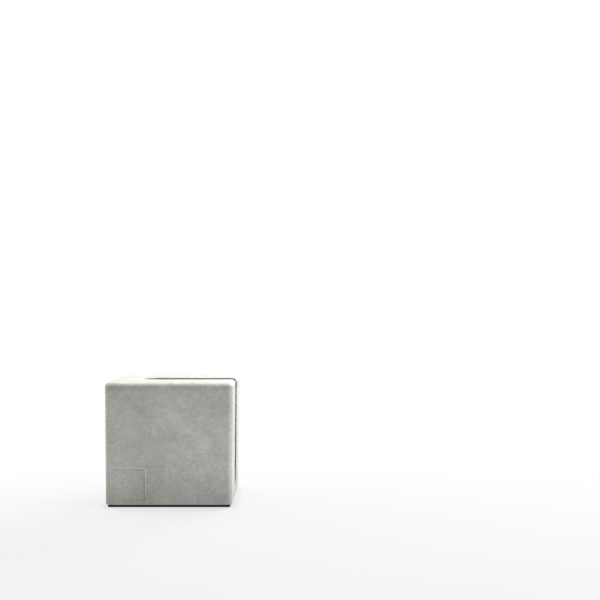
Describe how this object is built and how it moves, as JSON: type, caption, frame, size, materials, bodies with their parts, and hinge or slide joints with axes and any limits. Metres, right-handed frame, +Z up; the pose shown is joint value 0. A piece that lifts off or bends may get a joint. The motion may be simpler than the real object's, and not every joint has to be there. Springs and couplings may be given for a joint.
{
  "type": "floor bike stand",
  "caption": "Heavy cast concrete block with a vertical slot, open at the top and one side, that holds a bicycle wheel upright; thin anti-slip pad under its base.",
  "frame": {"origin": "on the floor, under the middle of the block's box", "axes": "+Z up; +X out of the slot's open side, the way the wheel rolls in from; -Y the front face with the plain panel"},
  "size_m": [0.2118, 0.2118, 0.2058],
  "materials": {
    "concrete": "fair-faced cast concrete, matt, fine mottling and small pores",
    "rubber_pad": "matt black anti-slip rubber sheet"
  },
  "bodies": {
    "root": {"concrete_block": "concrete", "base_pad": "rubber_pad"}
  },
  "joints": []
}
